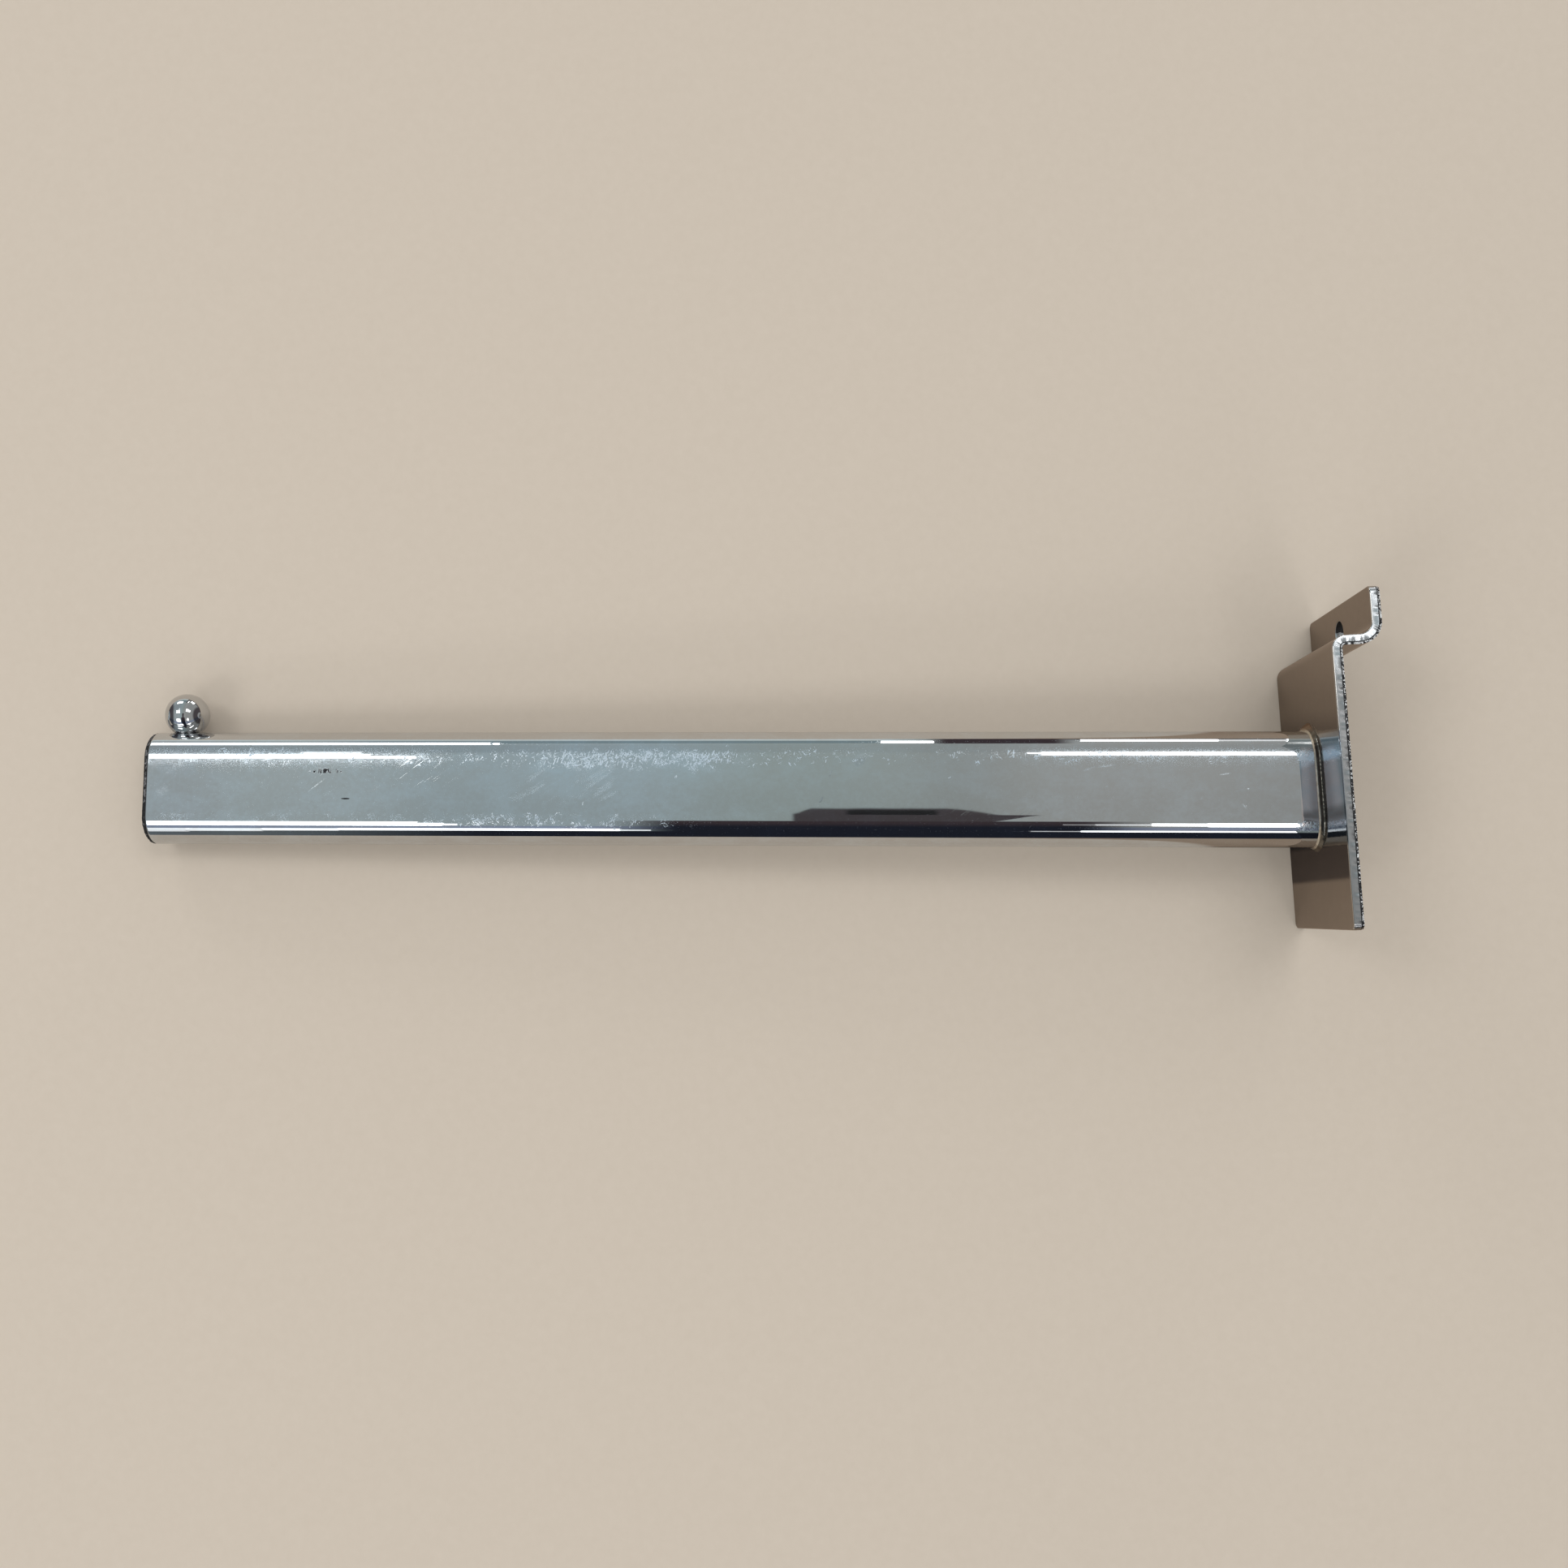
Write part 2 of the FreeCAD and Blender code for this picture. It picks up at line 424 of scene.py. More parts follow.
def arm_chrome():
    """Bright chrome, scuffed in a fine grain along its corners, with nicks and two dark rubs; painted shade
    darkens its lower side, and a painted reflection of the plate, with painted shade by the bead, tints its
    foot.
    """
    material, tree = new_material("arm_chrome", TubeTree)
    place, along, up = tree.place, tree.along, tree.up

    # The haze is a fine grain of dull spots, so that the clear reflection stays between them
    grain = tree.noise(place, 6, 3, 0.6)
    hazed = tree.step(tree.plus(grain, tree.times(tree.haze(), 0.6)), 0.66, 0.78)
    bright_wear = tree.most(tree.flecks(), tree.nicked(), tree.times(tree.hairlines(), 0.12))
    dark = tree.dark_rubs()

    roughness = tree.level(hazed, clear_roughness, haze_roughness)
    roughness = tree.level(bright_wear, roughness, wear_roughness)
    roughness = tree.level(dark, roughness, dark_rub_roughness)

    # Painted shade: the lower side of the tube is darker
    base = tree.blend(tree.step(up, -9, 6), chrome_low_painted_shade_tint, chrome_high_tint)
    # Painted reflection of the plate near the foot, with painted shade by the bead and on the lower part
    bead_and_low_shade_mask = tree.most(tree.step(along, -6.4, -4), tree.step(up, -4.6, -7.4))
    foot_painted_light = tree.blend(bead_and_low_shade_mask, foot_painted_reflection_tint, foot_painted_shade_tint)
    at_painted_foot = tree.times(tree.step(along, -7.7, -6.9), tree.window(up, *flat_up))
    base = tree.blend(at_painted_foot, base, foot_painted_light)
    base = tree.blend(tree.film(), base, film_tint)
    base = tree.blend(tree.most(hazed, bright_wear), base, wear_tint)
    base = tree.blend(dark, base, dark_rub_tint)

    wave = tree.noise(tree.scaled(place, (0.4, 1, 1)), 0.12, 1)
    height = tree.plus(tree.times(grain, 0.002), tree.times(wave, 0.12), tree.times(bright_wear, 0.3))
    surface(tree, base, roughness, height, tube_bump)
    return material


# Zones that the plate's edge_zone attribute holds, and where its material steps between them
skin_zone = 0.0
cut_zone = 1.0
broken_zone = 2.0
bore_zone = 3.0
cut_from = (0.2, 0.4)
broken_from = (1.4, 1.6)
glints_from = (2.05, 2.15)
bore_from = (2.4, 2.6)

# Plate's chrome: colours
plate_tint = colour(0.4, 0.375, 0.35)
plate_pale_tint = colour(0.46, 0.435, 0.41)
# Painted reflection of the tube on the plate's front: a pale painted highlight band and dark painted bands
painted_reflection_tint = colour(0.27, 0.28, 0.31)
painted_reflected_highlight_tint = colour(0.42, 0.49, 0.57)
painted_dark_reflection_tint = colour(0.09, 0.1, 0.11)
satin_tint = colour(0.37, 0.37, 0.375)
# The lip's satin tint is a painted highlight: the same cut edge, lighter on the lip
satin_lip_painted_highlight_tint = colour(0.5, 0.52, 0.54)
torn_tint = colour(0.055, 0.055, 0.058)
# Painted glints: white specks on the broken edge
glint_tint = colour(0.97, 0.97, 0.97)
# The bore's tint is painted shade inside the hole
bore_painted_shade_tint = colour(0.015, 0.013, 0.012)

# Plate's chrome: roughness and bump
satin_roughness = 0.3
glint_roughness = 0.55
bore_roughness = 0.6
plate_bump = 0.015

# Painted reflection of the tube on the plate's front beside it, with its painted highlight and dark bands:
# low, high and softness (mm)
painted_reflection_up = (-15, 12.5, 0.8)
painted_reflected_highlight_up = (6.4, 9.4, 0.8)
painted_dark_reflection_up = (-8.6, -5.4, 1)
painted_dark_reflection_low_up = (-16, -10.4, 0.6)


def plate_chrome():
    """Chrome on sheet steel: duller than the tube, satin on the cut edge, broken along its back; a painted
    reflection of the tube beside it, a painted highlight on the lip's cut edge, painted glints on the broken
    edge and painted shade in the bore.
    """
    material, tree = new_material("plate_chrome")
    place = arm_place(tree)
    along, _, up = tree.split(place)
    zone = tree.attribute("edge_zone")
    cut = tree.step(zone, *cut_from)
    broken = tree.step(zone, *broken_from)
    bored = tree.step(zone, *bore_from)
    mottle = tree.noise(place, 0.35, 4, 0.6)
    fine = tree.noise(place, 2.5, 4, 0.65)
    # Painted glints: white specks on the outer part of the broken edge, a few more on the lip
    lip = tree.step(up, 24, 30)
    glint_noise = tree.plus(tree.noise(place, 1.9, 2, 0.6), tree.times(lip, 0.05))
    glints = tree.times(tree.step(glint_noise, 0.515, 0.555), tree.step(zone, *glints_from))

    roughness = tree.level(mottle, 0.06, 0.12)
    roughness = tree.level(cut, roughness, satin_roughness)
    roughness = tree.level(bored, roughness, bore_roughness)
    roughness = tree.level(tree.times(broken, glints), roughness, glint_roughness)

    # Painted reflection of the tube on the plate's front beside it: a pale painted highlight band and dark
    # painted bands
    painted_reflection = tree.blend(tree.window(up, *painted_reflected_highlight_up), painted_reflection_tint, painted_reflected_highlight_tint)
    painted_dark_bands = tree.most(tree.window(up, *painted_dark_reflection_up), tree.window(up, *painted_dark_reflection_low_up))
    painted_reflection = tree.blend(painted_dark_bands, painted_reflection, painted_dark_reflection_tint)
    painted_reflection_mask = tree.times(tree.window(up, *painted_reflection_up), tree.step(along, -1, -1.5))
    base = tree.blend(mottle, plate_tint, plate_pale_tint)
    base = tree.blend(painted_reflection_mask, base, painted_reflection)
    # Painted highlight: the cut edge is lighter on the lip
    base = tree.blend(cut, base, tree.blend(lip, satin_tint, satin_lip_painted_highlight_tint))
    # Painted glints in white on the broken edge
    base = tree.blend(broken, base, tree.blend(glints, torn_tint, glint_tint))
    # Painted shade in the hole's bore
    base = tree.blend(bored, base, bore_painted_shade_tint)

    dots = specks(tree, place, 0.22, 0.06, 0.25)
    height = tree.plus(
        tree.times(fine, 0.1), tree.times(mottle, 0.4),
        tree.times(cut, tree.noise(place, 5.0, 3.0), 0.4), tree.times(broken, fine, 6.0))
    height = tree.less(height, tree.times(dots, 0.5))
    surface(tree, base, roughness, height, plate_bump, tree.level(bored, 1, 0.2))
    return material


# Weld's chrome
# Painted shade in the hollow by the plate and a painted highlight on the ridge along the tube, both with
# stains
hollow_painted_shade_tint = colour(0.17, 0.16, 0.14)
hollow_shade_and_stain_tint = colour(0.11, 0.1, 0.085)
ridge_painted_highlight_tint = colour(0.74, 0.71, 0.64)
ridge_highlight_and_stain_tint = colour(0.52, 0.48, 0.4)
weld_top_brown_tint = colour(0.22, 0.155, 0.11)
weld_toe_roughness = 0.3
weld_bump = 0.012


def weld_chrome():
    """Dull chrome over a weld: a painted highlight along the tube, painted shade by the plate, brown at the
    top.
    """
    material, tree = new_material("weld_chrome")
    place = arm_place(tree)
    up = tree.split(place)[2]
    stain = tree.step(tree.noise(place, 0.8, 4, 0.6), 0.36, 0.62)
    start = tree.step(up, tube_height / 2 - 1, tube_height / 2 + 1)
    # Painted shade by the plate and a painted highlight along the tube side; the top of the bead is brown
    painted_hollow_shade = tree.blend(stain, hollow_painted_shade_tint, hollow_shade_and_stain_tint)
    painted_ridge_highlight = tree.blend(stain, ridge_painted_highlight_tint, ridge_highlight_and_stain_tint)
    toe_highlight = tree.step(tree.attribute("crest"), 0.56, 0.66)
    base = tree.blend(toe_highlight, painted_hollow_shade, painted_ridge_highlight)
    base = tree.blend(start, base, weld_top_brown_tint)
    fine = tree.noise(place, 2.2, 4, 0.65)
    roughness = tree.level(toe_highlight, tree.level(fine, 0.12, 0.26), weld_toe_roughness)
    surface(tree, base, roughness, fine, weld_bump)
    return material


# Ball's chrome
ball_tint = colour(0.56, 0.565, 0.57)
pit_tint = colour(0.45, 0.45, 0.46)
pit_roughness = 0.3
ball_bump = 0.003


def ball_chrome():
    """Bright chrome on a steel ball, with a few fine pits."""
    material, tree = new_material("ball_chrome")
    place = arm_place(tree)
    pits = specks(tree, place, 0.6, 0.09, 0.3)
    haze = tree.noise(place, 0.8, 3)
    roughness = tree.level(pits, tree.level(haze, 0.01, 0.03), pit_roughness)
    base = tree.blend(pits, ball_tint, pit_tint)
    height = tree.less(tree.times(haze, 0.1), pits)
    surface(tree, base, roughness, height, ball_bump)
    return material


# Cap's plastic
cap_tint = colour(0.01, 0.01, 0.011)
cap_knock_tint = colour(0.22, 0.22, 0.23)
cap_specular = 0.3
cap_bump = 0.05


def cap_plastic():
    """Black moulded plastic, scuffed paler where its rim has been knocked."""
    material, tree = new_material("cap_plastic")
    place = arm_place(tree)
    up = tree.split(place)[2]
    fine = tree.noise(place, 3, 4, 0.65)
    more_above = tree.times(tree.step(up, -5, -3), 0.08)
    knocks = tree.step(tree.plus(tree.noise(place, 1.1, 4, 0.65), more_above), 0.55, 0.64)
    knocks = tree.times(knocks, tree.attribute("rim"))
    base = tree.blend(knocks, cap_tint, cap_knock_tint)
    surface(tree, base, tree.level(fine, 0.5, 0.75), fine, cap_bump, 0, cap_specular)
    return material


# Mesh helpers

def raised(place):
    """Turns a place made along the X axis to the arm's slope."""
    cos, sin = math.cos(arm_rise), math.sin(arm_rise)
    return Vector((place[0] * cos + place[2] * sin, place[1], place[2] * cos - place[0] * sin))


def foot_x(height):
    """Where a line along the arm at this height off its axis meets the plate's front."""
    return -(sheet + height * math.sin(arm_rise)) / math.cos(arm_rise)


def oval(height, thickness, arc_steps=36, flat_steps=8):
    """Points (y, z) round a flat oval with round ends, from its near side over the top."""
    radius = thickness / 2
    straight = height / 2 - radius
    near_tangent = 0.03 * straight
    flat = [straight - near_tangent - 2 * (straight - near_tangent) * i / flat_steps
            for i in range(flat_steps + 1)]
    arc = [PI * i / arc_steps for i in range(arc_steps + 1)]
    points = [(-radius * math.cos(a), straight + radius * math.sin(a)) for a in arc]
    points += [(radius, z) for z in flat]
    points += [(radius * math.cos(a), -straight - radius * math.sin(a)) for a in arc]
    points += [(-radius, -z) for z in flat]
    return points


def inner_oval(inset, *steps):
    """Points round the tube's outline, drawn in by the inset."""
    return oval(tube_height - 2 * inset, tube_thickness - 2 * inset, *steps)


def loft(loops, closed=False, ends=False):
    """Faces between loops of equal length, each loop running the same way round."""
    count = len(loops[0])
    verts = [place for loop in loops for place in loop]
    pairs = [(i, i + 1) for i in range(len(loops) - 1)]
    if closed:
        pairs.append((len(loops) - 1, 0))
    faces = []
    for one, two in pairs:
        for k in range(count):
            after = (k + 1) % count
            faces.append((one * count + k, one * count + after, two * count + after, two * count + k))
    if ends:
        faces.append(tuple(reversed(range(count))))
        last = (len(loops) - 1) * count
        faces.append(tuple(range(last, last + count)))
    return verts, faces


def make_piece(name, verts, faces, material, node, sharp_deg=35.0):
    """One mesh piece that stands for a node of the frame."""
    mesh = bpy.data.meshes.new(name)
    mesh.from_pydata([Vector(v) * MM for v in verts], [], faces)
    mesh.validate()
    mesh.shade_smooth()
    mesh.set_sharp_from_angle(angle=math.radians(sharp_deg))
    mesh.materials.append(material)
    piece = placed(name, mesh)
    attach(piece, "root")
    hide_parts(node)
    return piece


def set_attribute(piece, name, values):
    """Stores one number for each point of the mesh, for its material to read."""
    attribute = piece.data.attributes.new(name, "FLOAT", "POINT")
    attribute.data.foreach_set("value", values)


# Arm tube
tube_end_round = 0.25
tube_steps = 60
tube_last_share = 0.999


def make_tube():
    loops = []
    around = oval(tube_height, tube_thickness)
    start = arm_end + tube_end_round
    shares = [i / tube_steps for i in range(tube_steps)] + [tube_last_share, 1.0]
    for share in shares:
        loops.append([raised((foot_x(z) + (start - foot_x(z)) * share, y, z)) for y, z in around])
    for angle in (PI / 6, PI / 3, PI / 2):
        inset = tube_end_round * (1 - math.cos(angle))
        x = start - tube_end_round * math.sin(angle)
        loops.append([raised((x, y, z)) for y, z in inner_oval(inset)])
    inside = inner_oval(tube_wall)
    loops.append([raised((arm_end, y, z)) for y, z in inside])
    loops.append([raised((foot_x(z), y, z)) for y, z in inside])
    verts, faces = loft(loops, closed=True)
    make_piece("arm_tube_shell", verts, faces, arm_chrome(), "arm_tube")


# Weld bead
bead_steps = 12
bead_arc_steps = 150
bead_flat_steps = 90
bead_leg = 1.15
bead_flatness = 1.65
bead_ripple = 0.012
bead_ripple_pitch = 1.1
bead_ripple_drift = 4
bead_wander = 0.03
bead_wander_scale = 0.35
bead_wander_slice = 3.0
bead_lump = 1.0
bead_lump_width = 2.2
bead_sharp_deg = 60.0


def make_bead():
    """Rippled fillet round the tube's foot, thicker where the weld was started, at the top."""
    around = oval(tube_height, tube_thickness, bead_arc_steps, bead_flat_steps)
    count = len(around)
    loops = [[] for _ in range(bead_steps + 2)]
    run = 0.0
    for k, (y, z) in enumerate(around):
        before, after = around[k - 1], around[(k + 1) % count]
        tangent = Vector((after[0] - before[0], after[1] - before[1])).normalized()
        out = Vector((-tangent.y, tangent.x))
        run += math.dist(before, (y, z)) if k else 0.0
        wander = noise.noise(Vector((y, z, bead_wander_slice)) * bead_wander_scale)
        ripple = 1 + bead_wander * wander
        ripple += bead_ripple * math.sin(2 * PI * run / bead_ripple_pitch + bead_ripple_drift * wander)
        top = math.exp(-((y * y + (z - tube_height / 2) ** 2) / bead_lump_width ** 2))
        leg = bead_leg * (ripple + bead_lump * top)
        for j in range(bead_steps + 1):
            angle = PI / 2 * j / bead_steps
            reach = leg * math.cos(angle) ** bead_flatness
            rise = leg * math.sin(angle) ** bead_flatness
            at_y, at_z = y + out.x * reach, z + out.y * reach
            loops[j].append(raised((foot_x(at_z) - rise, at_y, at_z)))
        loops[bead_steps + 1].append(raised((foot_x(z), y, z)))
    verts, faces = loft(loops, closed=True)
    piece = make_piece(
        "weld_bead_ripples", verts, faces, weld_chrome(), "weld_bead", bead_sharp_deg)
    crest = [j / bead_steps for j in range(bead_steps + 1) for _ in range(count)] + [0.0] * count
    set_attribute(piece, "crest", crest)


# Ball stop
ball_rings = 72
ball_sides = 96
ball_seat_overlap = 0.03
ball_sharp_deg = 60.0


def make_ball():
    """Ball with its underside fitted to the tube's round edge."""
    centre = Vector((arm_end + ball_from_end, 0, tube_height / 2 + ball_radius - ball_sink))
    edge_radius = tube_thickness / 2
    loops = []
    for i in range(1, ball_rings):
        polar = PI * i / ball_rings
        girth = math.sin(polar)
        loop = []
        for k in range(ball_sides):
            turn = 2 * PI * k / ball_sides
            offset = Vector((girth * math.cos(turn), girth * math.sin(turn), -math.cos(polar)))
            place = centre + ball_radius * offset
            seat = tube_height / 2 - edge_radius + math.sqrt(edge_radius ** 2 - place.y ** 2)
            place.z = max(place.z, seat - ball_seat_overlap)
            loop.append(raised(place))
        loops.append(loop)
    verts, faces = loft(loops, ends=True)
    material = ball_chrome()
    make_piece("ball_stop_polished", verts, faces, material, "ball_stop", ball_sharp_deg)


# End cap
cap_round = 0.35
cap_crown = 0.25
cap_crown_reach = 5.6
cap_crown_steps = 5
cap_arc_steps = 100
cap_flat_steps = 90

# The cap's rim: the share of its height that is left, where it is whole, worn and chipped
rim_full = 0.92
rim_worn = 0.48
rim_least = 0.22
rim_ragged = 0.35
rim_worn_above = -4.2
rim_worn_soft = 1.2
chip_thickness = 0.012
chip_height = 0.006


def cap_profile():
    """Pairs of distance beyond the tube's end and inset from the tube's outline."""
    rim = cap_flange - cap_round
    profile = []
    for i in range(cap_crown_steps, 0, -1):
        beyond = cap_flange + cap_crown * (1 - (1 - i / cap_crown_steps) ** 2)
        profile.append((beyond, cap_inset + cap_round + cap_crown_reach * i / cap_crown_steps))
    for angle in (90, 70, 50, 30, 10, 0):
        turn = math.radians(angle)
        profile.append((rim + cap_round * math.sin(turn), cap_inset + cap_round * (1 - math.cos(turn))))
    profile.append((0.0, cap_inset))
    side = tube_wall + plug_clearance
    crest = tube_wall + rib_clearance
    profile.append((0.0, side))
    for index in range(rib_count):
        start = rib_first + index * rib_pitch
        end = start + rib_width
        profile += [(-start, side), (-start, crest), (-end, crest), (-end, side)]
    profile += [(-plug_length, side), (-plug_length, side + plug_wall), (0.0, side + plug_wall)]
    return profile


def rim_place(beyond, y, z):
    """A place on the cap's rim, where wear and chips have left it."""
    chip = noise.noise(Vector((y, z, 0)) * 1.1) + 0.7 * noise.noise(Vector((y, z, 9)) * 2.7)
    worn = 0.5 + 0.5 * math.tanh((z - rim_worn_above) / rim_worn_soft)
    share = min(1.0, max(rim_least, rim_full - rim_worn * worn + rim_ragged * chip))
    place = Vector((arm_end - beyond * share, y, z))
    place.y *= 1 + chip_thickness * chip
    place.z *= 1 + chip_height * chip
    return place


def make_cap():
    loops, rim = [], []
    for beyond, inset in reversed(cap_profile()):
        loop = []
        on_rim = beyond > 0 and inset < cap_inset + cap_round
        for y, z in inner_oval(inset, cap_arc_steps, cap_flat_steps):
            place = rim_place(beyond, y, z) if on_rim else Vector((arm_end - beyond, y, z))
            loop.append(raised(place))
        loops.append(loop)
        rim += [float(on_rim)] * len(loop)
    verts, faces = loft(loops, ends=True)
    piece = make_piece("end_cap_moulded", verts, faces, cap_plastic(), "end_cap")
    set_attribute(piece, "rim", rim)


# Wall plate, folded from a flat blank
bend_steps = 14
corner_steps = 8
roll_steps = 4
hole_sides = 60
rim_spacing = 0.33
edge_roll = 0.3
edge_support = 0.3
plate_sharp_deg = 50.0

# The cut edge: its satin part, then the broken part, which gets ragged and leans in towards the back
broken_share = 0.71
broken_steps = 4
broken_first_rough = 0.1
broken_rough = 0.16
broken_inset = 0.16
broken_zone_rise = 0.3
broken_end = 0.98
satin_end = 0.05
back_bevel = 0.12

# The lip's hole: its eased rim and its bore, painted dark as shade
hole_ease = 0.15
ease_grow = 0.04
ease_depth = 0.05
bore_start = 0.12
bore_end = 0.1
bore_back_grow = 0.08
bore_painted_shade_above = 0.3

# Lengths of the blank along its front skin
first_outer = front_bend + sheet
length_plate = web_top - first_outer - plate_foot
length_first = first_outer * PI / 2
length_web = (panel_gap - rear_bend) - (first_outer - sheet)
length_second = rear_bend * PI / 2
length_lip = lip_top - web_top - rear_bend
fold_one = length_plate
fold_two = fold_one + length_first
fold_three = fold_two + length_web
fold_four = fold_three + length_second
blank_length = fold_four + length_lip


def folded(s, y, depth):
    """Place of a point of the blank: s from the foot along the front skin, depth into the sheet."""
    if s <= fold_one:
        return Vector((-sheet + depth, y, plate_foot + s))
    if s <= fold_two:
        turn = PI - (s - fold_one) / first_outer
        radius = first_outer - depth
        height = web_top - first_outer + radius * math.sin(turn)
        return Vector((front_bend + radius * math.cos(turn), y, height))
    if s <= fold_three:
        return Vector((front_bend + s - fold_two, y, web_top - depth))
    if s <= fold_four:
        turn = 1.5 * PI + (s - fold_three) / rear_bend
        radius = rear_bend + depth
        return Vector((panel_gap - rear_bend + radius * math.cos(turn), y,
                       web_top + rear_bend + radius * math.sin(turn)))
    return Vector((panel_gap + depth, y, web_top + rear_bend + s - fold_four))


def blank_rows():
    """Places along the blank where the mesh has a straight line from side to side."""
    near = 0.25
    rows = [fold_one - near, fold_two + near, fold_three - near, fold_four + near]
    for start, end in ((fold_one, fold_two), (fold_three, fold_four)):
        rows += [start + (end - start) * i / bend_steps for i in range(bend_steps + 1)]
    return sorted(rows)


def corner_rim(s_side, y_side):
    """Points and outward directions round one corner of the blank, in the rim's order."""
    end = blank_length if s_side > 0 else 0.0
    half = plate_width / 2
    points = []
    for i in range(1, corner_steps):
        turn = PI / 2 * i / corner_steps
        out_s, out_y = math.sin(turn), math.cos(turn)
        if s_side != y_side:
            out_s, out_y = out_y, out_s
        s = end - s_side * blank_corner * (1 - out_s)
        y = y_side * (half - blank_corner * (1 - out_y))
        points.append((s, y, s_side * out_s, y_side * out_y))
    return points


def blank_rim(rows):
    """Points and outward directions round the blank, with a point at both ends of each row."""
    half = plate_width / 2
    stops = [blank_corner] + rows + [blank_length - blank_corner]
    side = []
    for low, high in zip(stops, stops[1:]):
        steps = max(1, math.ceil((high - low) / rim_spacing))
        side += [low + (high - low) * i / steps for i in range(steps)]
    side.append(stops[-1])
    straight = plate_width - 2 * blank_corner
    across_steps = math.ceil(straight / rim_spacing)
    across = [-straight / 2 + straight * i / across_steps for i in range(across_steps + 1)]
    rim = [(s, half, 0, 1) for s in side] + corner_rim(1, 1)
    rim += [(blank_length, y, 1, 0) for y in reversed(across)] + corner_rim(1, -1)
    rim += [(s, -half, 0, -1) for s in reversed(side)] + corner_rim(-1, -1)
    rim += [(0, y, -1, 0) for y in across] + corner_rim(-1, 1)
    return rim


def hole_rim(rows, centre, ring):
    """Directions round the hole, with a point wherever a row crosses the ring about it."""
    least_turn = 0.03
    crossings = []
    for s in rows:
        offset = (s - centre) / ring
        if abs(offset) < 1:
            crossings += [math.asin(offset) % (2 * PI), PI - math.asin(offset)]
    regular = [2 * PI * i / hole_sides for i in range(hole_sides)]
    spare = [a for a in regular if all(math.cos(a - c) < math.cos(least_turn) for c in crossings)]
    return sorted(crossings + spare)


def jagged(s, y, depth, rough):
    """How far a broken edge is set in at this place."""
    jag = rough * noise.noise(Vector((s, y * 1.7, depth * 2)) * 1.6)
    return jag + 0.6 * rough * noise.noise(Vector((s, y, depth)) * 4.0)


class SheetMesh:
    """The plate's points with their edge zones, and the faces between loops of them."""

    def __init__(self, rim, angles, centre):
        self.rim = rim
        self.angles = angles
        self.centre = centre
        self.verts, self.zones, self.faces = [], [], []

    def add(self, places, zones):
        first = len(self.verts)
        self.verts.extend(places)
        self.zones.extend(zones)
        return list(range(first, len(self.verts)))

    def join(self, one, two):
        for k in range(len(one)):
            after = (k + 1) % len(one)
            self.faces.append((one[k], one[after], two[after], two[k]))

    def rim_loop(self, inset, depth, zone, rough=0.0):
        """A loop round the blank at this inset from its edge and depth into the sheet."""
        places = []
        for s, y, out_s, out_y in self.rim:
            moved = inset + jagged(s, y, depth, rough)
            places.append(folded(s - out_s * moved, y - out_y * moved, depth))
        return self.add(places, [zone] * len(places))

    def hole_loop(self, grow, depth, zone):
        """A loop round the hole; the bore is painted dark as shade only above its lowest part."""
        radius = hole_radius + grow
        places = [folded(self.centre + radius * math.sin(a), radius * math.cos(a), depth)
                  for a in self.angles]
        zones = [zone] * len(places)
        if zone == bore_zone:
            zones = [bore_zone if math.sin(a) > bore_painted_shade_above else cut_zone for a in self.angles]
        return self.add(places, zones)


def skin_triangles(rim, angles, rows, centre, inner, ring):
    """Triangles of the flat blank inside its rim and round its hole, with every row as a line."""
    touching = 1e-6
    merging = 1e-7
    flat = [Vector((s - out_s * inner, y - out_y * inner)) for s, y, out_s, out_y in rim]
    flat += [Vector((centre + ring * math.sin(a), ring * math.cos(a))) for a in angles]
    edges = [(k, (k + 1) % len(rim)) for k in range(len(rim))]
    edges += [(len(rim) + k, len(rim) + (k + 1) % len(angles)) for k in range(len(angles))]
    for s in rows:
        ends = [k for k, point in enumerate(rim) if abs(point[0] - s) < touching and point[2] == 0]
        near_hole = [len(rim) + k for k, a in enumerate(angles)
                     if abs(centre + ring * math.sin(a) - s) < touching]
        line = sorted(ends + near_hole, key=lambda k: flat[k].y)
        stride = 2 if len(line) == 4 else 1
        edges += [(line[i], line[i + 1]) for i in range(0, len(line) - 1, stride)]
    result = delaunay_2d_cdt(flat, edges, [], 0, merging)
    origins = result[3]
    triangles = [[origins[k][0] for k in triangle] for triangle in result[2]]
    return [corners for corners in triangles if any(k < len(rim) for k in corners)]


